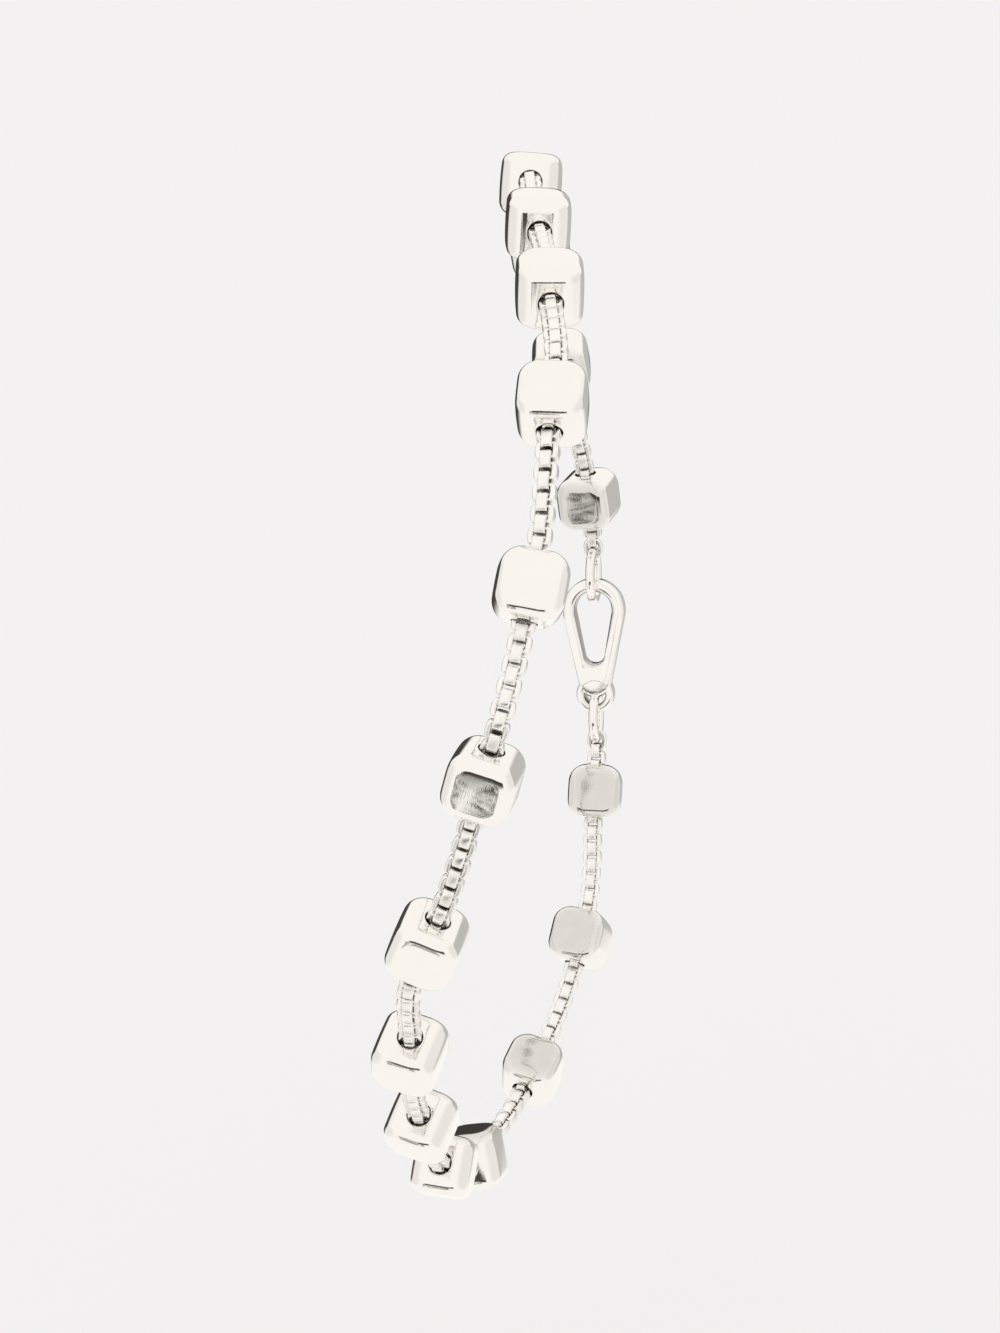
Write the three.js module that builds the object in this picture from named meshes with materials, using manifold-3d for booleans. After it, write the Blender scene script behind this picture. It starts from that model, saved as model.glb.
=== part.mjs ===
// Cube chain bracelet, in the loop that it keeps on a wrist: rounded cube beads at even
// spacing on a fine box chain, closed by a plain claw clasp between two rings.
// Millimetres, +Z up, +X along the wrist towards the hand. The origin is the point of
// the topmost bead that sits on the wrist.
import * as THREE from "three";
import { RoundedBoxGeometry } from "three/addons/geometries/RoundedBoxGeometry.js";
import { mergeVertices } from "three/addons/utils/BufferGeometryUtils.js";
import Module from "manifold-3d";

// Driving dimensions
const SPACING = 11.5; // from bead centre to bead centre, along the chain
const CUBE = 4.2; // bead's edge
const CUBE_CORNER = 1.0; // radius of its edges and corners
const BORE = 2.1; // hole through a bead
const CHAIN_WIDTH = 1.35;
const WIRE = 0.7; // of both rings
const GAP = 0.3; // between pieces that touch on the real bracelet

// The loop, from the top of the wrist down its near side, under it and up behind. A row
// is one station, where a bead sits, with the bead's own tilts: its pitch about the axis
// across the chain, its lean about the outward axis and its turn about the chain.
const STATIONS = [
  // x, y, z, pitch, lean and turn in degrees
  [-2.2, 11.0, 1.1, 0, 0, -6],
  [0.0, 0.0, 2.1, 0, 0, -8],
  [2.3, -11.0, 1.9, 0, 0, -8],
  [3.8, -22.0, -1.1, 0, -2, -6],
  [3.0, -30.5, -9.1, -2, 0, -14],
  [0.2, -35.5, -18.4, 10, 0, 0],
  [-4.4, -36.5, -29.7, 0, -7, 5],
  [-7.2, -33.0, -39.6, 0, 0, 14],
  [-8.7, -27.0, -49.6, 0, 0, 18],
  [-9.5, -19.0, -59.2, 0, 0, 8],
  [-9.6, -10.0, -65.0, 0, 0, -8],
  [-7.0, 1.0, -65.1, 0, 0, 10],
  [-4.0, 10.5, -59.1, 0, 0, -6],
  [-3.0, 17.0, -50.1, 0, 0, 8],
  [-2.5, 21.5, -39.6, 0, 0, 0],
  [-2.5, 24.0, -28.6, 0, 0, -10],
  [-3.5, 23.5, -17.1, 0, 0, 7],
  [-3.5, 19.5, -6.1, 0, 0, 4],
];
const CLASP_STATION = 15; // this one holds the clasp, every other one a bead

// Clasp, along its own X, with the tail eye at -X and the claw's nose at +X
const CLASP_DEPTH = 1.5;
const CLASP_BEVEL = 0.3;
const NOSE = { x: 2.6, radius: 2.4, wall: 1.0 };
const THROAT = { x: -0.8, radius: 0.8 };
const EYE = { x: -4.0, radius: 1.45, hole: 0.8 };
const FLANK_X = -1.3; // of the point that both curved flanks head for
const TAIL_RING_RADIUS = 1.7; // to the middle of the wire
const CATCH_RING_RADIUS = 1.9;

// Facets
const CHAIN_STEPS = 80;
const CHAIN_SIDES = 8;
const BORE_SIDES = 16;
const CORNER_SEGMENTS = 2;
const WIRE_SIDES = 8;
const RING_STEPS = 20;

const SILVER = { color: 0xe9e6df, roughness: 0.12, metalness: 1 };

const wasm = await Module();
wasm.setup();

function solidOf(geometry) {
  const bare = geometry.clone().deleteAttribute("normal").deleteAttribute("uv");
  const merged = mergeVertices(bare, 1e-4);
  return new wasm.Manifold(
    new wasm.Mesh({
      numProp: 3,
      vertProperties: merged.attributes.position.array,
      triVerts: new Uint32Array(merged.index.array),
    }),
  );
}

function geometryOf(solid) {
  const mesh = solid.getMesh();
  const geometry = new THREE.BufferGeometry();
  geometry.setAttribute("position", new THREE.BufferAttribute(mesh.vertProperties, 3));
  geometry.setIndex(new THREE.BufferAttribute(mesh.triVerts, 1));
  geometry.computeVertexNormals();
  return geometry;
}

function silverMesh(name, geometry) {
  const mesh = new THREE.Mesh(geometry, new THREE.MeshStandardMaterial(SILVER));
  mesh.name = name;
  return mesh;
}

// The closed curve through the stations, brought to its real length about the origin
function loopCurve() {
  const rough = closedCurve(STATIONS.map(([x, y, z]) => new THREE.Vector3(x, y, z)));
  const scale = (SPACING * STATIONS.length) / rough.getLength();
  return closedCurve(rough.points.map((point) => point.multiplyScalar(scale)));
}

function closedCurve(points) {
  const curve = new THREE.CatmullRomCurve3(points, true);
  curve.arcLengthDivisions = 200 * points.length;
  return curve;
}

// Axes at a place on the loop: Z along the chain, X near the wrist's axis, Y outwards
function axesAlong(direction) {
  const along = direction.clone().normalize();
  const outward = new THREE.Vector3().crossVectors(along, new THREE.Vector3(1, 0, 0)).normalize();
  const across = new THREE.Vector3().crossVectors(outward, along);
  return new THREE.Matrix4().makeBasis(across, outward, along);
}

// A place on the loop, counted in stations from the first, which is number 1
function placeAt(loop, station) {
  const share = (station - 1) / STATIONS.length;
  const turned = share - Math.floor(share);
  return { point: loop.getPointAt(turned), along: loop.getTangentAt(turned) };
}

// A bead's place: its station, and its axes after its own tilts, with the bore along Z
function beadPlace(loop, station) {
  const { point, along } = placeAt(loop, station);
  const [pitch, lean, turn] = STATIONS[station - 1].slice(3).map(THREE.MathUtils.degToRad);
  const tilts = new THREE.Matrix4();
  tilts.makeRotationFromEuler(new THREE.Euler(pitch, lean, turn, "YXZ"));
  const axes = axesAlong(along).multiply(tilts);
  return { point, axes, along: new THREE.Vector3().setFromMatrixColumn(axes, 2) };
}

// The chain's route: straight through each stop for its half length both ways, and a
// smooth bend from each stop to the next
class ChainRoute extends THREE.Curve {
  constructor(stops) {
    super();
    this.pieces = [];
    let leaving;
    for (const { point, along, half } of stops) {
      const entry = point.clone().addScaledVector(along, -half);
      const exit = point.clone().addScaledVector(along, half);
      if (leaving) {
        const reach = leaving.point.distanceTo(entry) / 3;
        const bendOut = leaving.point.clone().addScaledVector(leaving.along, reach);
        const bendIn = entry.clone().addScaledVector(along, -reach);
        this.pieces.push(new THREE.CubicBezierCurve3(leaving.point, bendOut, bendIn, entry));
      }
      if (half > 0) this.pieces.push(new THREE.LineCurve3(entry, exit));
      leaving = { point: exit, along };
    }
    this.arcLengthDivisions = 40 * this.pieces.length;
  }

  getPoint(t, target) {
    const last = this.pieces.length - 1;
    const index = Math.min(Math.floor(t * this.pieces.length), last);
    return this.pieces[index].getPoint(t * this.pieces.length - index, target);
  }
}

function beadGeometry() {
  const body = new RoundedBoxGeometry(CUBE, CUBE, CUBE, CORNER_SEGMENTS, CUBE_CORNER);
  const bore = new THREE.CylinderGeometry(BORE / 2, BORE / 2, 2 * CUBE, BORE_SIDES);
  bore.rotateX(Math.PI / 2);
  return geometryOf(solidOf(body).subtract(solidOf(bore)));
}

function makeBeads(loop) {
  const geometry = beadGeometry();
  const beads = new THREE.Group();
  STATIONS.forEach((_, index) => {
    if (index + 1 === CLASP_STATION) return;
    const { point, axes } = beadPlace(loop, index + 1);
    const number = String(beads.children.length + 1).padStart(2, "0");
    const bead = silverMesh(`cube_${number}`, geometry);
    bead.position.copy(point);
    bead.quaternion.setFromRotationMatrix(axes);
    beads.add(bead);
  });
  return beads;
}

// The chain runs from one end through every bead, the long way round, to the other end
function makeChain(loop, ends) {
  const stops = [{ ...ends.start, half: 0 }];
  for (let step = 1; step < STATIONS.length; step += 1) {
    const station = ((CLASP_STATION + step - 1) % STATIONS.length) + 1;
    stops.push({ ...beadPlace(loop, station), half: CUBE / 2 });
  }
  stops.push({ ...ends.finish, half: 0 });
  const corners = Array.from({ length: CHAIN_SIDES }, (_, side) => {
    const angle = (side * 2 * Math.PI) / CHAIN_SIDES;
    return new THREE.Vector2(Math.cos(angle), Math.sin(angle)).multiplyScalar(CHAIN_WIDTH / 2);
  });
  const geometry = new THREE.ExtrudeGeometry(new THREE.Shape(corners), {
    steps: CHAIN_STEPS,
    extrudePath: new ChainRoute(stops),
  });
  return silverMesh("chain", geometry);
}

// A claw's outline: the eye, two flanks and a round nose, with the throat open inside
function makeClasp() {
  const flank = Math.PI / 3;
  const eyeSide = { x: EYE.x + EYE.radius * Math.cos(flank), y: EYE.radius * Math.sin(flank) };
  const outline = new THREE.Shape();
  outline.absarc(EYE.x, 0, EYE.radius, flank, 2 * Math.PI - flank);
  outline.quadraticCurveTo(FLANK_X, -NOSE.radius, NOSE.x, -NOSE.radius);
  outline.absarc(NOSE.x, 0, NOSE.radius, -Math.PI / 2, Math.PI / 2);
  outline.quadraticCurveTo(FLANK_X, NOSE.radius, eyeSide.x, eyeSide.y);
  const throat = new THREE.Path();
  throat.absarc(NOSE.x, 0, NOSE.radius - NOSE.wall, -Math.PI / 2, Math.PI / 2);
  throat.absarc(THROAT.x, 0, THROAT.radius, Math.PI / 2, 1.5 * Math.PI);
  const eye = new THREE.Path();
  eye.absarc(EYE.x, 0, EYE.hole, 0, 2 * Math.PI);
  outline.holes.push(throat, eye);
  const geometry = new THREE.ExtrudeGeometry(outline, {
    depth: CLASP_DEPTH - 2 * CLASP_BEVEL,
    bevelThickness: CLASP_BEVEL,
    bevelSize: CLASP_BEVEL,
    bevelOffset: -CLASP_BEVEL,
    bevelSegments: 2,
    curveSegments: 8,
  });
  geometry.translate(0, 0, CLASP_BEVEL - CLASP_DEPTH / 2);
  return silverMesh("clasp", geometry);
}

function makeRing(name, radius, x) {
  const ring = silverMesh(name, new THREE.TorusGeometry(radius, WIRE / 2, WIRE_SIDES, RING_STEPS));
  ring.rotation.x = Math.PI / 2;
  ring.position.x = x;
  return ring;
}

// Clasp and rings in one straight line, on the chord between the two ends of the chain
function makeFastening(loop) {
  const tailWire = EYE.x - EYE.hole + GAP + WIRE / 2;
  const tailRing = makeRing("tail_ring", TAIL_RING_RADIUS, tailWire - TAIL_RING_RADIUS);
  const catchWire = NOSE.x + NOSE.radius - NOSE.wall - GAP - WIRE / 2;
  const catchRing = makeRing("catch_ring", CATCH_RING_RADIUS, catchWire + CATCH_RING_RADIUS);
  const inLine = new THREE.Group();
  inLine.add(makeClasp(), tailRing, catchRing);

  const tailEnd = tailRing.position.x - TAIL_RING_RADIUS - WIRE / 2 - GAP;
  const catchEnd = catchRing.position.x + CATCH_RING_RADIUS + WIRE / 2 + GAP;
  const half = (catchEnd - tailEnd) / 2;
  const tail = placeAt(loop, CLASP_STATION - half / SPACING);
  const claw = placeAt(loop, CLASP_STATION + half / SPACING);
  inLine.position.x = -(tailEnd + catchEnd) / 2;

  const lengthways = new THREE.Matrix4().makeBasis(
    new THREE.Vector3(0, 0, 1),
    new THREE.Vector3(1, 0, 0),
    new THREE.Vector3(0, 1, 0),
  );
  const fastening = new THREE.Group();
  fastening.add(inLine);
  fastening.position.addVectors(tail.point, claw.point).multiplyScalar(0.5);
  const chord = new THREE.Vector3().subVectors(claw.point, tail.point);
  fastening.quaternion.setFromRotationMatrix(axesAlong(chord).multiply(lengthways));
  return { fastening, ends: { start: claw, finish: tail } };
}

function makeBracelet() {
  const loop = loopCurve();
  const { fastening, ends } = makeFastening(loop);
  const bracelet = new THREE.Group();
  bracelet.add(makeBeads(loop), makeChain(loop, ends), fastening);
  return bracelet;
}

export default makeBracelet();
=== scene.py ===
"""Looks for the cube chain bracelet: polished silver cube beads on a box chain, with a claw
clasp between two jump rings. Metres, in the frame of the CAD part, whose route and sizes are
repeated here. Each piece is a mesh of its own that stands for one CAD node.
"""
import math
import random

import bpy
import numpy as np
from mathutils import Matrix, Vector


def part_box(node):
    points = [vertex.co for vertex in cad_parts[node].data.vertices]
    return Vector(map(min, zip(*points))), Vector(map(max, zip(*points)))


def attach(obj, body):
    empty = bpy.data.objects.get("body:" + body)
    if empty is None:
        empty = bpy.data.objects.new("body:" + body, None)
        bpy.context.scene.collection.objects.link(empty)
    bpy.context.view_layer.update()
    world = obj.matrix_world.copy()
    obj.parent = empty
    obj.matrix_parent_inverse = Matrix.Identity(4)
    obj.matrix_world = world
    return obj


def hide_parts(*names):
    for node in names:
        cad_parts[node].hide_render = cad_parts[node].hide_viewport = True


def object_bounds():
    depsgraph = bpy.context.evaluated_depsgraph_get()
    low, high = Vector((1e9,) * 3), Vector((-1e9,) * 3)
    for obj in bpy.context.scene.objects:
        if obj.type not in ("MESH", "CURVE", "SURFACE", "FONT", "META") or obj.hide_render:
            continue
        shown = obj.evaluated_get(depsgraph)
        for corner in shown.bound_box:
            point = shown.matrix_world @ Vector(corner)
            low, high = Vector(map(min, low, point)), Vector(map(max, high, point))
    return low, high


MM = 0.001

# The loop's stations, as in the CAD part: a bead sits at each, apart from the clasp's
STATIONS = [
    # x, y, z; pitch about the axis across the chain, lean about the outward axis and turn
    # about the chain, in degrees
    (-0.0022, 0.0110, 0.0011, 0, 0, -6),
    (0.0000, 0.0000, 0.0021, 0, 0, -8),
    (0.0023, -0.0110, 0.0019, 0, 0, -8),
    (0.0038, -0.0220, -0.0011, 0, -2, -6),
    (0.0030, -0.0305, -0.0091, -2, 0, -14),
    (0.0002, -0.0355, -0.0184, 10, 0, 0),
    (-0.0044, -0.0365, -0.0297, 0, -7, 5),
    (-0.0072, -0.0330, -0.0396, 0, 0, 14),
    (-0.0087, -0.0270, -0.0496, 0, 0, 18),
    (-0.0095, -0.0190, -0.0592, 0, 0, 8),
    (-0.0096, -0.0100, -0.0650, 0, 0, -8),
    (-0.0070, 0.0010, -0.0651, 0, 0, 10),
    (-0.0040, 0.0105, -0.0591, 0, 0, -6),
    (-0.0030, 0.0170, -0.0501, 0, 0, 8),
    (-0.0025, 0.0215, -0.0396, 0, 0, 0),
    (-0.0025, 0.0240, -0.0286, 0, 0, -10),
    (-0.0035, 0.0235, -0.0171, 0, 0, 7),
    (-0.0035, 0.0195, -0.0061, 0, 0, 4),
]
CLASP_STATION = 15
SPACING = 11.5 * MM
CURVE_STEPS = 200  # of a fine polyline for each station
DIRECTION_STEP = 0.02 * MM  # to each side, for a line's direction

# Bead
CUBE = 4.2 * MM
FACE_CORNER = 0.75 * MM  # radius of the edges round the outer and inner faces
PLAN_CORNER = 1.3 * MM  # radius of the edges between side and end faces
CROWN = 0.045  # how far the faces' rims lie back, as a share
BORE = 1.62 * MM
BORE_LIP = 0.1 * MM  # radius of the bore's edge
SKIN_SHADE_START = 1.4 * MM  # how far inwards from its middle a bead's painted shade starts
SKIN_SHADE_AND_TARNISH = 0.3  # painted shade, with some tarnishing, on its inner face
# Painted shade, with some tarnishing, inside the bore
BORE_SHELTER = 0.75
BEAD_STEPS = 14  # from the middle of a face to its edge
LIP_STEPS = 4

# Box chain
LINK_LENGTH = 1.1 * MM
LINK_WIDTH = 1.42 * MM
LINK_DEPTH = 0.66 * MM  # of the band that a link is made of
LINK_SIDE = 0.36 * MM  # thickness of the band at the link's sides
LINK_END = 0.2 * MM  # and at its ends
LINK_CORNER = 0.16 * MM  # outside radius
HOLE_CORNER = 0.1 * MM
LINK_EDGE = 0.1 * MM  # radius of the band's edges
LINK_WAIST = 0.14  # how much narrower a link is at its ends than at its middle, as a share
LINK_DOT = 0.22 * MM  # half width of the painted shade, with some tarnishing, where links meet
LINK_PITCH = 0.639 * MM
LINK_STEPS = 3, 3  # round a corner and along a side
LINK_EDGE_STEPS = 2
SWAY, SWAY_PLAY = 5, 2  # degrees that the chain twists to and fro, and each link by itself
SWAY_LENGTH = 5.3 * MM
END_LOOP_LENGTH = 1.8 * MM
END_LOOP_WIDTH = 1.5 * MM
END_LOOP_WIRE = 0.36 * MM
END_LOOP_STEPS = 6
END_LOOP_EDGE_STEPS = 4

# Fastening, along its own X, as in the CAD part
CLASP_DEPTH = 1.5 * MM
CLASP_EDGE = 0.4 * MM  # radius of its edges
EYE_EDGE = 0.3 * MM
NOSE_X, NOSE_RADIUS, NOSE_WALL = 2.6 * MM, 2.4 * MM, 1.0 * MM
THROAT_X, THROAT_RADIUS = -0.8 * MM, 0.8 * MM
SHANK_X, SHANK_RADIUS = -3.0 * MM, 1.25 * MM
EYE_X, EYE_RADIUS, EYE_HOLE = -4.0 * MM, 1.45 * MM, 0.8 * MM
RING_WIRE = 0.7 * MM
SEAM = 0.85  # thickness of a ring's wire at its seam, as a share
TAIL_RING_RADIUS = 1.7 * MM  # to the middle of the wire
CATCH_RING_RADIUS = 1.9 * MM
GAP = 0.3 * MM
HOLE_SHELTER = 0.4  # painted shade, with some tarnishing, inside the claw, its eye and the chain's end loops
BODY_STEPS, EYE_STEPS = 96, 48  # round the claw's body and its eye
CLASP_EDGE_STEPS = 5
RING_STEPS, WIRE_STEPS = 72, 16  # round a ring and round its wire

# Silver, with patterns in millimetres
BEAD_COLOUR, BEAD_ROUGHNESS = (0.955, 0.94, 0.91), 0.05
# The links' silver is painted a little brighter than the beads' to make up for the room's dark band,
# which their rougher finish takes in
LINK_COLOUR, LINK_ROUGHNESS = (0.985, 0.97, 0.94), 0.36
ROUGHNESS_LEAST, ROUGHNESS_DRIFT = 0.6, 0.8  # as shares of a silver's roughness
# Dark colour for painted shade in bores, holes, where links meet and on the skin side, with some real
# tarnishing
TARNISH_AND_SHADE_COLOUR = (0.13, 0.105, 0.08)
TARNISH_AND_SHADE_DRIFT = 0.1  # added unevenly to the shelter
CLOUD_SCALE, CLOUD_DETAIL = 0.9, 5
CLOUD_EDGES = 0.3, 0.7
SCRATCH_SCALE = (14, 14, 0.8)  # fine across and long along
SCRATCH_DETAIL = 3
SCRATCH_LEAN = (0.4, 0.7, 0.2)  # radians
SCRATCH_STRENGTH = 0.12
SCRATCH_DEPTH = 0.02 * MM
GRAIN_SPREAD = 50  # how far apart the pieces' grains may start

# View
CAMERA_PLACE = (0.03245, -0.18042, 0.06411)
CAMERA_TARGET = (-0.0048, -0.0047, -0.0277)
CAMERA_ROLL = -6.5  # degrees
CAMERA_LENS = 80
CAMERA_CLIP = 0.01  # nothing nearer is shown

# Room. Its dark places lie in directions x, y, z on the unit sphere, and each pair is where
# one starts and where it is full.
FLOOR_DROP = 25 * MM  # below the lowest bead
FLOOR_RADIUS = 3.0
FLOOR_TONE = 0.9
FLOOR_ROUGHNESS = 0.9
FLOOR_STEPS = 96
EVEN_LIGHT = (1.0, 0.985, 0.985)  # on all that isn't a reflection
ROOM_LIGHT = (1.0, 0.975, 0.94)
ROOM_DARK = (0.06, 0.054, 0.048)
BAND = {"back": (0.3, 0.55), "bottom": (-0.62, -0.45), "top": (0.15, 0.02), "left": (0.05, -0.1)}
BAND_RIGHT_TONE = 0.5
SIDES = {"aside": (0.7, 0.95), "bottom": (-0.9, -0.6), "top": (0.6, 0.3)}
SIDES_TONE = 0.15
STRIP = {"front": (-0.6, -0.8), "aside": (0.45, 0.35), "bottom": (-0.32, -0.14), "top": (0.03, -0.02)}
CARD = {"front": (0.0, -0.2), "across": (0.25, 0.21), "level": (0.22, 0.19), "gap": (0.02, 0.042)}
CARD_X, CARD_Z = -0.3, -0.3
CARD_GAP, CARD_SLANT = -0.18, 0.5  # where the gap crosses z = 0, and how x grows with z along it
CARD_TONE, CARD_MOTTLING = 0.18, 0.82
MOTTLES, MOTTLE_DETAIL = 36, 4  # across the room
MOTTLE_EDGES = 0.44, 0.56

random.seed(14)


# Route

def catmull_rom(before, start, end, after, t):
    """A point between start and end on the centripetal Catmull-Rom curve, at the share t."""
    first, middle, last = (
        math.sqrt((b - a).length) for a, b in ((before, start), (start, end), (end, after))
    )
    leave = (start - before) / first - (end - before) / (first + middle) + (end - start) / middle
    arrive = (end - start) / middle - (after - start) / (middle + last) + (after - end) / last
    leave, arrive = leave * middle, arrive * middle
    return (
        start
        + leave * t
        + (3 * (end - start) - 2 * leave - arrive) * t**2
        + (2 * (start - end) + leave + arrive) * t**3
    )


def closed_polyline(stations):
    """The closed curve through the stations in short steps, ending at its first point."""
    count = len(stations)
    points = []
    for index in range(count):
        around = [stations[(index + shift) % count] for shift in (-1, 0, 1, 2)]
        points += [catmull_rom(*around, step / CURVE_STEPS) for step in range(CURVE_STEPS)]
    return np.array(points + [points[0]])


class Line:
    """A polyline that gives its point and direction at any distance along it."""

    def __init__(self, points):
        steps = np.linalg.norm(np.diff(points, axis=0), axis=1)
        self.points = points
        self.distances = np.concatenate([[0.0], np.cumsum(steps)])
        self.length = self.distances[-1]

    def point(self, distance):
        return Vector([np.interp(distance, self.distances, axis) for axis in self.points.T])

    def direction(self, distance):
        behind = self.point(max(distance - DIRECTION_STEP, 0))
        ahead = self.point(min(distance + DIRECTION_STEP, self.length))
        return (ahead - behind).normalized()


def make_loop():
    """The loop through the stations, brought to its real length about the origin."""
    rough = closed_polyline([Vector(row[:3]) for row in STATIONS])
    return Line(rough * (SPACING * len(STATIONS) / Line(rough).length))


def place_at(loop, station):
    """Point and direction at a place counted in stations from the first, which is number 1."""
    distance = (station - 1) * SPACING % loop.length
    return loop.point(distance), loop.direction(distance)


def axes_along(direction):
    """A rotation with Z along the chain, X near the wrist's axis and Y outwards."""
    outward = direction.cross(Vector((1, 0, 0))).normalized()
    across = outward.cross(direction)
    return Matrix((across, outward, direction)).transposed()


def bead_place(loop, station):
    """Centre and rotation of the bead at a station."""
    point, along = place_at(loop, station)
    pitch, lean, turn = (math.radians(angle) for angle in STATIONS[station - 1][3:])
    rotation = axes_along(along) @ Matrix.Rotation(lean, 3, "Y") @ Matrix.Rotation(pitch, 3, "X")
    return point, rotation @ Matrix.Rotation(turn, 3, "Z")


def bend(start, leave, end, arrive):
    """The smooth bend of the chain from one straight stretch to the next."""
    reach = (end - start).length / 3
    share = np.linspace(0, 1, CURVE_STEPS)[:-1, None]
    return (
        (1 - share) ** 3 * np.array(start)
        + 3 * share * (1 - share) ** 2 * np.array(start + leave * reach)
        + 3 * share**2 * (1 - share) * np.array(end - arrive * reach)
        + share**3 * np.array(end)
    )


def make_chain_line(loop, ends):
    """The chain's route from the claw's end, straight through each bead, to the tail's end."""
    count = len(STATIONS)
    stops = [(*ends[0], 0)]
    for step in range(1, count):
        point, rotation = bead_place(loop, (CLASP_STATION + step - 1) % count + 1)
        stops.append((point, rotation.col[2], CUBE / 2))
    stops.append((*ends[1], 0))
    pieces = []
    for (point, along, half), (next_point, next_along, next_half) in zip(stops, stops[1:]):
        entry = next_point - next_along * next_half
        pieces.append(bend(point + along * half, along, entry, next_along))
    return Line(np.vstack([*pieces, np.array(ends[1][0])]))


# Meshes. A part is a dictionary of points, faces, grain points in millimetres, which the
# materials' patterns follow, and the shelter of each point, from 0 in the open to 1 inside,
# which sets its painted shade and tarnishing.

def grid_part(rows, shelter):
    """A part from rows of points, each row closed on itself and the last joined to the first."""
    rows = np.array(rows)
    row_count, column_count = rows.shape[:2]
    row, column = np.indices((row_count, column_count))
    above, ahead = (row + 1) % row_count, (column + 1) % column_count
    corners = [(row, column), (row, ahead), (above, ahead), (above, column)]
    faces = np.stack([r * column_count + c for r, c in corners], axis=-1)
    points = rows.reshape(-1, 3)
    return {
        "points": points,
        "faces": faces.reshape(-1, 4),
        "grain": points / MM,
        "shelter": np.broadcast_to(shelter, (row_count, column_count)).ravel(),
    }


def placed(part, rotation, point):
    """The part turned and moved to its place, with its grain at a random place of its own."""
    shift = np.array([random.uniform(-GRAIN_SPREAD, GRAIN_SPREAD) for _ in range(3)])
    turned = part["points"] @ np.array(rotation).T + np.array(point)
    return {**part, "points": turned, "grain": part["grain"] + shift}


def make_piece(name, parts, material, node):
    """One smooth mesh from the parts, riding on the root in place of the CAD node."""
    starts = np.cumsum([0] + [len(part["points"]) for part in parts])
    faces = np.vstack([part["faces"] + start for part, start in zip(parts, starts)])
    mesh = bpy.data.meshes.new(name)
    mesh.from_pydata(np.vstack([part["points"] for part in parts]).tolist(), [], faces.tolist())
    grain = mesh.attributes.new("grain", "FLOAT_VECTOR", "POINT")
    grain.data.foreach_set("vector", np.vstack([part["grain"] for part in parts]).ravel())
    shelter = mesh.attributes.new("shelter", "FLOAT", "POINT")
    shelter.data.foreach_set("value", np.concatenate([part["shelter"] for part in parts]))
    mesh.shade_smooth()
    mesh.materials.append(material)
    piece = bpy.data.objects.new(name, mesh)
    bpy.context.scene.collection.objects.link(piece)
    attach(piece, "root")
    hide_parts(node)


def arc(start, end, steps):
    """Cosines and sines at even angles from start to end in degrees, both included."""
    angles = np.radians(np.linspace(start, end, steps + 1))
    return np.column_stack([np.cos(angles), np.sin(angles)])


def rounded_rectangle(width, height, corner, corner_steps, side_steps=1):
    """Points of a rounded rectangle, anticlockwise from the middle of its right side."""
    core = np.array([width / 2 - corner, height / 2 - corner])
    signs = np.array([(1, 1), (-1, 1), (-1, -1), (1, -1)])
    points = []
    for quarter in range(4):
        turn = core * signs[quarter] + corner * arc(90 * quarter, 90 * quarter + 90, corner_steps)
        straight = core * (signs[(quarter + 1) % 4] - signs[quarter])
        steps = np.arange(1, side_steps)[:, None] / side_steps
        points += [turn, turn[-1] + straight * steps]
    return np.vstack(points)


def band_part(inner, outer, depth, edge, edge_steps, inside=HOLE_SHELTER, outside=0):
    """A flat closed band in XZ between two outlines of as many points, with rounded edges. Its
    inner and outer sides have the shelters inside and outside, which set their painted shade."""
    half = np.linalg.norm(outer - inner, axis=1)[:, None] / 2
    outward = (outer - inner) / (2 * half)
    edge = np.minimum(edge, half)
    rows, shelter = [], []
    for start, side, level in ((0, 1, 1), (90, -1, 1), (180, -1, -1), (270, 1, -1)):
        for cosine, sine in arc(start, start + 90, edge_steps):
            flat = (inner + outer) / 2 + outward * (side * (half - edge) + edge * cosine)
            across = level * (depth / 2 - edge) + edge * sine
            rows.append(np.hstack([flat[:, :1], across, flat[:, 1:]]))
            facing = max(0, cosine) * outside + max(0, -cosine) * inside
            shelter.append(np.broadcast_to(facing, len(flat)))
    return grid_part(rows, shelter)


# Bead. Its shape is worked out on a cube of half width 1.

def gauge(a, b, corner):
    """The size of the rounded square, with a corner radius in the same share, that each point
    lies on."""
    core = 1 - corner
    total, square = core * (a + b), a**2 + b**2
    root = np.sqrt(np.maximum(total**2 - square * (2 * core**2 - corner**2), 0))
    round_corner = square / np.maximum(total + root, 1e-9)
    long, short = np.maximum(a, b), np.minimum(a, b)
    return np.where(short <= core * long, long, round_corner)


def rounded(points):
    """Points on the sharp cube drawn in to the rounded one."""
    x, y, z = np.moveaxis(np.abs(points), -1, 0)
    plan = gauge(x, z, PLAN_CORNER / (CUBE / 2))
    return points / gauge(plan, y, FACE_CORNER / (CUBE / 2))[..., None]


def crowned(points):
    """Faces that stand a little higher in their middle than at their rims."""
    share = np.clip(1 - points**2, 0, 1)
    lift = share[..., [1, 2, 0]] * share[..., [2, 0, 1]]
    return points * (1 - CROWN * (1 - lift))


def square_outline():
    """Points round a square, closer together near its corners, anticlockwise."""
    steps = arc(-90, 90, 2 * BEAD_STEPS)[:-1, 1]
    ones = np.ones(len(steps))
    sides = (ones, steps), (-steps, ones), (-ones, -steps), (steps, -ones)
    return np.vstack([np.column_stack(side) for side in sides])


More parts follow.
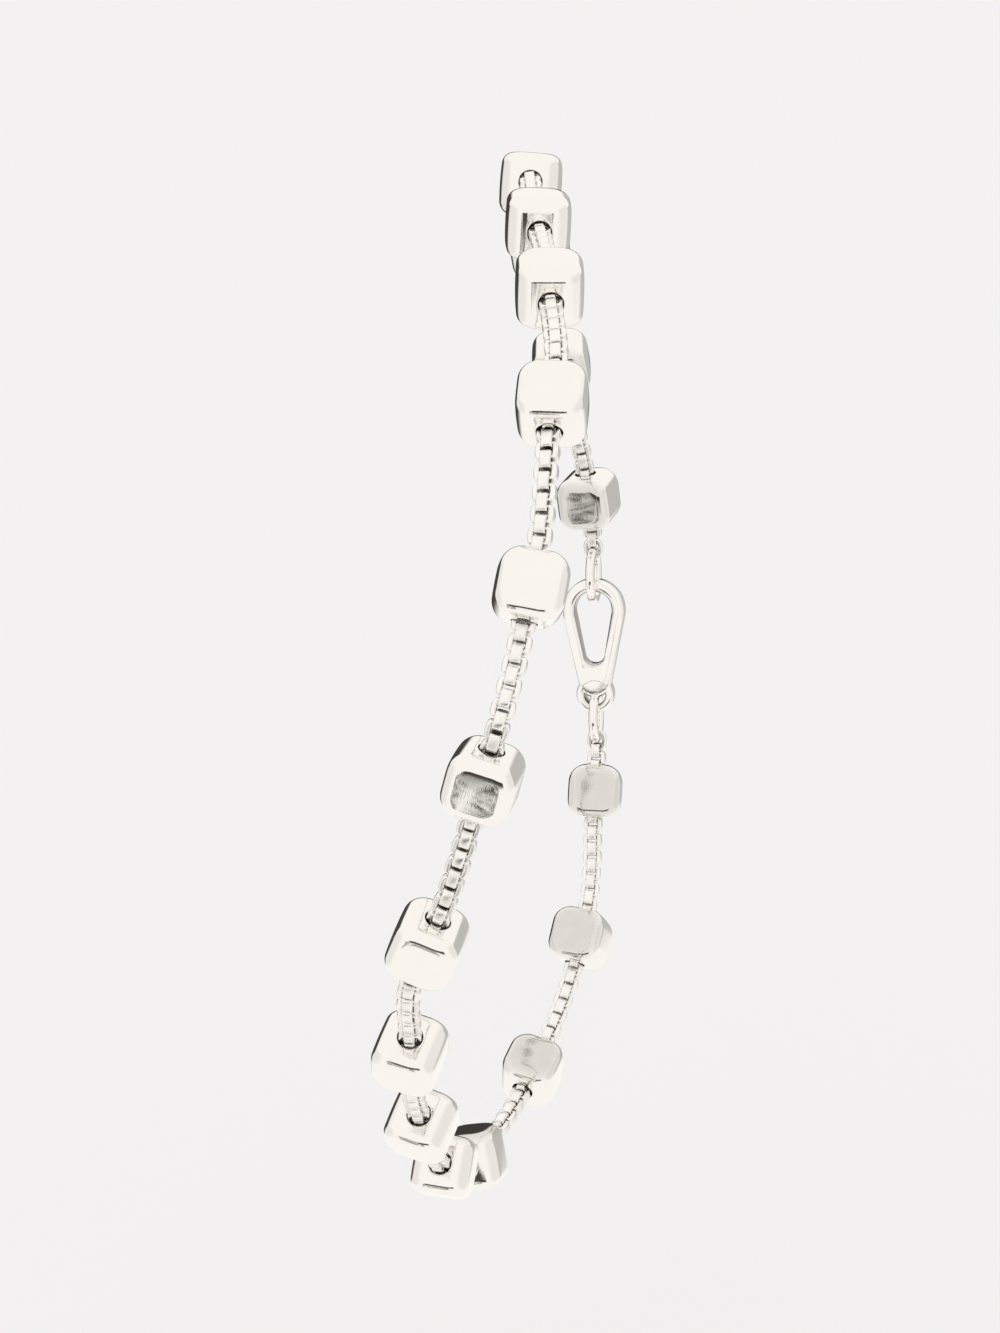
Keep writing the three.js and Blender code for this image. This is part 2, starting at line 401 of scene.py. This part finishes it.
def bead_part():
    """A rounded cube with crowned faces and a round bore along Z, darkened with painted shade
    and some tarnishing in the bore and on the side that lies on the skin."""
    outline = square_outline()
    rays = outline / np.linalg.norm(outline, axis=1)[:, None]
    bore, lip = BORE / CUBE, BORE_LIP / (CUBE / 2)
    level = np.ones((len(outline), 1))

    curve = arc(0, 90, BEAD_STEPS)
    sides = [np.hstack([outline, level * sine]) for sine in curve[:, 1]]
    end = [
        np.hstack([outline * cosine + rays * (bore + lip) * (1 - cosine), level])
        for cosine in curve[1:, 0]
    ]
    mouth = [
        np.hstack([rays * (bore + lip * (1 - cosine)), level - lip * (1 - sine)])
        for cosine, sine in arc(90, 0, LIP_STEPS)[1:]
    ]
    upper = [*rounded(np.array(sides + end)), *mouth, np.hstack([rays * bore, level / 2])]
    points = np.array(upper + [row * (1, 1, -1) for row in upper[:0:-1]])

    # Painted shade: darker towards the inner face and inside the bore
    depth = np.clip((-points[..., 1] * CUBE / 2 - SKIN_SHADE_START) / (CUBE / 2 - SKIN_SHADE_START), 0, 1)
    in_bore = np.linalg.norm(points[..., :2], axis=-1) < bore + lip / 2
    shelter = np.where(in_bore, BORE_SHELTER, depth * SKIN_SHADE_AND_TARNISH)
    return grid_part(crowned(points) * CUBE / 2, shelter)


def make_beads(loop, material):
    part = bead_part()
    stations = [number for number in range(1, len(STATIONS) + 1) if number != CLASP_STATION]
    for number, station in enumerate(stations, start=1):
        point, rotation = bead_place(loop, station)
        bead = placed(part, rotation, point)
        node = f"cube_{number:02d}"
        make_piece(f"{node}_polished", [bead], material, node)


# Chain

def link_part():
    """A box chain's link in XZ, with bulging sides, open along Y, with painted shade and some
    tarnishing where its neighbours hang in it."""
    width, length = LINK_WIDTH - 2 * LINK_SIDE, LINK_LENGTH - 2 * LINK_END
    inner = rounded_rectangle(width, length, HOLE_CORNER, *LINK_STEPS)
    outer = rounded_rectangle(LINK_WIDTH, LINK_LENGTH, LINK_CORNER, *LINK_STEPS)
    # Painted shade in the gap where the links meet
    dot = (np.abs(outer[:, 0]) < LINK_DOT) & (np.abs(outer[:, 1]) > length / 2)
    outer[:, 0] *= 1 - LINK_WAIST * (outer[:, 1] / (LINK_LENGTH / 2)) ** 2
    return band_part(inner, outer, LINK_DEPTH, LINK_EDGE, LINK_EDGE_STEPS, dot, dot)


def end_loop_part():
    """A round wire loop in XZ, longest along Z."""
    corner = END_LOOP_WIDTH / 2
    outer = rounded_rectangle(END_LOOP_WIDTH, END_LOOP_LENGTH, corner, END_LOOP_STEPS)
    hole = corner - END_LOOP_WIRE
    length = END_LOOP_LENGTH - 2 * END_LOOP_WIRE
    inner = rounded_rectangle(2 * hole, length, hole, END_LOOP_STEPS)
    return band_part(inner, outer, END_LOOP_WIRE, END_LOOP_WIRE / 2, END_LOOP_EDGE_STEPS)


def chain_ends(loop, tail, catch):
    """Places where the chain starts beyond the claw's ring and ends before the tail's ring."""
    rings = TAIL_RING_RADIUS + CATCH_RING_RADIUS + RING_WIRE
    half = ((catch - tail).length + rings) / 2 + GAP
    return [place_at(loop, CLASP_STATION + side * half / SPACING) for side in (1, -1)]


def make_chain(line, material):
    """Links at even steps, each a quarter turn from the last, and a wire loop at each end that
    hangs in the last link and goes round a ring's wire."""
    count = 2 * round((line.length / LINK_PITCH - 1) / 2) + 1
    pitch = line.length / count
    link, end_loop = link_part(), end_loop_part()
    parts = []
    for index in range(count):
        distance = (index + 0.5) * pitch
        sway = SWAY * math.sin(distance / SWAY_LENGTH) + random.uniform(-SWAY_PLAY, SWAY_PLAY)
        roll = Matrix.Rotation(math.radians(90 * ((index + 1) % 2) + sway), 3, "Z")
        parts.append(placed(link, axes_along(line.direction(distance)) @ roll, line.point(distance)))
    reach = GAP + RING_WIRE + END_LOOP_WIRE - END_LOOP_LENGTH / 2
    for distance, side in ((0, -1), (line.length, 1)):
        along = line.direction(distance)
        parts.append(placed(end_loop, axes_along(along), line.point(distance) + along * reach * side))
    make_piece("chain_links", parts, material, "chain")


# Fastening

def tapered_outline(large_x, large_radius, small_x, small_radius):
    """The outline round two circles on X, as points in XZ at even angles of its normal."""
    normals = arc(0, 360, BODY_STEPS)[:-1]
    large = np.array([large_x, 0]) + large_radius * normals
    small = np.array([small_x, 0]) + small_radius * normals
    further = np.sum(large * normals, axis=1) > np.sum(small * normals, axis=1)
    return np.where(further[:, None], large, small)


def ring_outline(x, radius):
    return np.array([x, 0]) + radius * arc(0, 360, EYE_STEPS)[:-1]


def claw_parts():
    """The claw in XZ, with its nose at +X and its eye at -X."""
    hole = tapered_outline(NOSE_X, NOSE_RADIUS - NOSE_WALL, THROAT_X, THROAT_RADIUS)
    body = tapered_outline(NOSE_X, NOSE_RADIUS, SHANK_X, SHANK_RADIUS)
    eye = ring_outline(EYE_X, EYE_HOLE), ring_outline(EYE_X, EYE_RADIUS)
    return [
        band_part(hole, body, CLASP_DEPTH, CLASP_EDGE, CLASP_EDGE_STEPS),
        band_part(*eye, CLASP_DEPTH, EYE_EDGE, CLASP_EDGE_STEPS),
    ]


def ring_part(radius):
    """A jump ring in XZ of round wire, with a fine seam where its ends meet."""
    rows = []
    for cosine, sine in arc(0, 360, RING_STEPS)[:-1]:
        wire = RING_WIRE / 2 * (SEAM if cosine == 1 else 1)
        out, side = wire * arc(0, 360, WIRE_STEPS)[:-1].T
        rows.append(np.column_stack([(radius + out) * cosine, side, (radius + out) * sine]))
    return grid_part(rows, 0)


def make_fastening(tail, catch, material):
    """The claw between its rings, which stand in the plane along the chain and outwards."""
    along = (catch - tail).normalized()
    across, outward, _ = axes_along(along).transposed()
    standing = Matrix((along, across, outward)).transposed()
    lying = standing @ Matrix.Rotation(math.radians(90), 3, "X")
    tail_wire = EYE_X - EYE_HOLE + GAP + RING_WIRE / 2
    middle = tail - along * (tail_wire - TAIL_RING_RADIUS)
    claw = [placed(part, lying, middle) for part in claw_parts()]
    make_piece("claw", claw, material, "clasp")
    for node, radius, centre in (
        ("tail_ring", TAIL_RING_RADIUS, tail),
        ("catch_ring", CATCH_RING_RADIUS, catch),
    ):
        ring = placed(ring_part(radius), standing, centre)
        make_piece(f"{node}_wire", [ring], material, node)


# Materials

def smooth_step(tree, value, low, high):
    """A value brought from low..high to 0..1 along a smooth curve."""
    node = tree.nodes.new("ShaderNodeMapRange")
    node.interpolation_type = "SMOOTHSTEP"
    node.inputs["From Min"].default_value = low
    node.inputs["From Max"].default_value = high
    tree.links.new(value, node.inputs["Value"])
    return node.outputs["Result"]


def calculated(tree, operation, *values):
    """The result of a math node fed with sockets or plain numbers."""
    node = tree.nodes.new("ShaderNodeMath")
    node.operation = operation
    for socket, value in zip(node.inputs, values):
        if isinstance(value, bpy.types.NodeSocket):
            tree.links.new(value, socket)
        else:
            socket.default_value = value
    return node.outputs["Value"]


def attribute(tree, name, output):
    node = tree.nodes.new("ShaderNodeAttribute")
    node.attribute_name = name
    return node.outputs[output]


def noise(tree, place, scale, detail):
    node = tree.nodes.new("ShaderNodeTexNoise")
    node.inputs["Scale"].default_value = scale
    node.inputs["Detail"].default_value = detail
    tree.links.new(place, node.inputs["Vector"])
    return node.outputs["Fac"]


def mixed_colour(tree, factor, first, second):
    node = tree.nodes.new("ShaderNodeMix")
    node.data_type = "RGBA"
    node.inputs["A"].default_value = (*first, 1)
    node.inputs["B"].default_value = (*second, 1)
    tree.links.new(factor, node.inputs["Factor"])
    return node.outputs["Result"]


def silver(name, colour, roughness):
    """Polished silver with fine scratches, uneven polish and painted shade, with some
    tarnishing, in sheltered places.
    """
    material = bpy.data.materials.new(name)
    material.use_nodes = True
    tree = material.node_tree
    shader = tree.nodes["Principled BSDF"]
    shader.inputs["Metallic"].default_value = 1.0
    place = attribute(tree, "grain", "Vector")

    cloud = noise(tree, place, CLOUD_SCALE, CLOUD_DETAIL)
    shelter = attribute(tree, "shelter", "Fac")
    # Painted shade: the shelter mixes in the dark colour where shade falls, with a little uneven
    # tarnishing
    tarnish_and_shade = smooth_step(tree, calculated(tree, "MULTIPLY_ADD", cloud, TARNISH_AND_SHADE_DRIFT, shelter), 0, 1)
    metal = mixed_colour(tree, tarnish_and_shade, colour, TARNISH_AND_SHADE_COLOUR)
    tree.links.new(metal, shader.inputs["Base Color"])

    uneven = smooth_step(tree, cloud, *CLOUD_EDGES)
    least, drift = roughness * ROUGHNESS_LEAST, roughness * ROUGHNESS_DRIFT
    rough = calculated(tree, "MULTIPLY_ADD", uneven, drift, least)
    tree.links.new(rough, shader.inputs["Roughness"])

    stretch = tree.nodes.new("ShaderNodeMapping")
    stretch.inputs["Scale"].default_value = SCRATCH_SCALE
    stretch.inputs["Rotation"].default_value = SCRATCH_LEAN
    tree.links.new(place, stretch.inputs["Vector"])
    bump = tree.nodes.new("ShaderNodeBump")
    bump.inputs["Strength"].default_value = SCRATCH_STRENGTH
    bump.inputs["Distance"].default_value = SCRATCH_DEPTH
    scratches = noise(tree, stretch.outputs["Vector"], 1, SCRATCH_DETAIL)
    tree.links.new(scratches, bump.inputs["Height"])
    tree.links.new(bump.outputs["Normal"], shader.inputs["Normal"])
    return material


# Room

def make_floor(lowest):
    mesh = bpy.data.meshes.new("floor")
    height = lowest - FLOOR_DROP
    rim = [(x, y, height) for x, y in FLOOR_RADIUS * arc(0, 360, FLOOR_STEPS)[:-1]]
    mesh.from_pydata(rim, [], [list(range(FLOOR_STEPS))])
    material = bpy.data.materials.new("floor_paper")
    material.use_nodes = True
    shader = material.node_tree.nodes["Principled BSDF"]
    shader.inputs["Base Color"].default_value = (FLOOR_TONE, FLOOR_TONE, FLOOR_TONE, 1)
    shader.inputs["Roughness"].default_value = FLOOR_ROUGHNESS
    shader.inputs["Specular IOR Level"].default_value = 0.0
    mesh.materials.append(material)
    floor = bpy.data.objects.new("floor", mesh)
    floor.visible_glossy = False
    bpy.context.scene.collection.objects.link(floor)


def product(tree, *values):
    result = values[0]
    for value in values[1:]:
        result = calculated(tree, "MULTIPLY", result, value)
    return result


def distance_from(tree, value, middle):
    return calculated(tree, "ABSOLUTE", calculated(tree, "SUBTRACT", value, middle))


def band_tone(tree, x, y, z):
    """A dark band behind, which draws the edges, at half its tone to the right."""
    left = smooth_step(tree, x, *BAND["left"])
    return product(
        tree,
        smooth_step(tree, y, *BAND["back"]),
        smooth_step(tree, z, *BAND["bottom"]),
        smooth_step(tree, z, *BAND["top"]),
        calculated(tree, "MULTIPLY_ADD", left, 1 - BAND_RIGHT_TONE, BAND_RIGHT_TONE),
    )


def sides_tone(tree, x, z):
    """Light grey far to the left and right."""
    return product(
        tree,
        smooth_step(tree, distance_from(tree, x, 0), *SIDES["aside"]),
        smooth_step(tree, z, *SIDES["bottom"]),
        smooth_step(tree, z, *SIDES["top"]),
        SIDES_TONE,
    )


def strip_tone(tree, x, y, z):
    """A low dark strip in front, which shows as a line along the faces' edges."""
    return product(
        tree,
        smooth_step(tree, y, *STRIP["front"]),
        smooth_step(tree, distance_from(tree, x, 0), *STRIP["aside"]),
        smooth_step(tree, z, *STRIP["bottom"]),
        smooth_step(tree, z, *STRIP["top"]),
    )


def card_tone(tree, towards, x, y, z):
    """A small mottled card in front with a slanted gap, which shows on single faces."""
    mottled = smooth_step(tree, noise(tree, towards, MOTTLES, MOTTLE_DETAIL), *MOTTLE_EDGES)
    slant = calculated(tree, "MULTIPLY_ADD", z, -CARD_SLANT, x)
    return product(
        tree,
        smooth_step(tree, y, *CARD["front"]),
        smooth_step(tree, distance_from(tree, x, CARD_X), *CARD["across"]),
        smooth_step(tree, distance_from(tree, z, CARD_Z), *CARD["level"]),
        smooth_step(tree, distance_from(tree, slant, CARD_GAP), *CARD["gap"]),
        calculated(tree, "MULTIPLY_ADD", mottled, CARD_MOTTLING, CARD_TONE),
    )


def room_tone(tree):
    """What the silver sees: a bright room with a few dark places."""
    split = tree.nodes.new("ShaderNodeSeparateXYZ")
    towards = tree.nodes.new("ShaderNodeTexCoord").outputs["Generated"]
    tree.links.new(towards, split.inputs["Vector"])
    x, y, z = split.outputs
    dark = band_tone(tree, x, y, z)
    for tone in (
        sides_tone(tree, x, z),
        strip_tone(tree, x, y, z),
        card_tone(tree, towards, x, y, z),
    ):
        dark = calculated(tree, "MAXIMUM", dark, tone)
    return mixed_colour(tree, dark, ROOM_LIGHT, ROOM_DARK)


def make_world():
    """An even pale light on the floor, and the room's tones in the silver."""
    world = bpy.data.worlds.new("studio")
    bpy.context.scene.world = world
    world.use_nodes = True
    tree = world.node_tree
    tree.nodes.clear()
    path = tree.nodes.new("ShaderNodeLightPath")
    even = tree.nodes.new("ShaderNodeBackground")
    even.inputs["Color"].default_value = (*EVEN_LIGHT, 1)
    strength = calculated(tree, "MULTIPLY_ADD", path.outputs["Is Camera Ray"], FLOOR_TONE - 1, 1)
    tree.links.new(strength, even.inputs["Strength"])
    room = tree.nodes.new("ShaderNodeBackground")
    tree.links.new(room_tone(tree), room.inputs["Color"])
    either = tree.nodes.new("ShaderNodeMixShader")
    tree.links.new(path.outputs["Is Glossy Ray"], either.inputs["Fac"])
    tree.links.new(even.outputs["Background"], either.inputs[1])
    tree.links.new(room.outputs["Background"], either.inputs[2])
    out = tree.nodes.new("ShaderNodeOutputWorld")
    tree.links.new(either.outputs["Shader"], out.inputs["Surface"])


def make_camera():
    camera = bpy.data.objects.new("camera", bpy.data.cameras.new("camera"))
    camera.data.lens = CAMERA_LENS
    camera.data.clip_start = CAMERA_CLIP
    look = (Vector(CAMERA_TARGET) - Vector(CAMERA_PLACE)).to_track_quat("-Z", "Y")
    roll = Matrix.Rotation(math.radians(CAMERA_ROLL), 4, "Z")
    camera.matrix_world = Matrix.Translation(CAMERA_PLACE) @ look.to_matrix().to_4x4() @ roll
    bpy.context.scene.collection.objects.link(camera)
    bpy.context.scene.camera = camera


# Scene

def centre_of(node):
    low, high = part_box(node)
    return (low + high) / 2


def corners(box):
    return [list(corner) for corner in box]


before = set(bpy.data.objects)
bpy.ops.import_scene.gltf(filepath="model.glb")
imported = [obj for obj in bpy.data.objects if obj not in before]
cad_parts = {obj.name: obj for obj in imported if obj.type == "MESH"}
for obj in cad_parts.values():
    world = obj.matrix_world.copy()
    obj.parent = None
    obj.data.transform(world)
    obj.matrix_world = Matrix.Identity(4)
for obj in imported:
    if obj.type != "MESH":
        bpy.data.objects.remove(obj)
cad_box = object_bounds()

make_camera()
make_world()
make_floor(cad_box[0].z)
bpy.context.scene.view_settings.view_transform = "Standard"

loop = make_loop()
beads_silver = silver("polished_silver", BEAD_COLOUR, BEAD_ROUGHNESS)
links_silver = silver("link_silver", LINK_COLOUR, LINK_ROUGHNESS)
make_beads(loop, beads_silver)
tail, catch = centre_of("tail_ring"), centre_of("catch_ring")
make_chain(make_chain_line(loop, chain_ends(loop, tail, catch)), links_silver)
make_fastening(tail, catch, beads_silver)
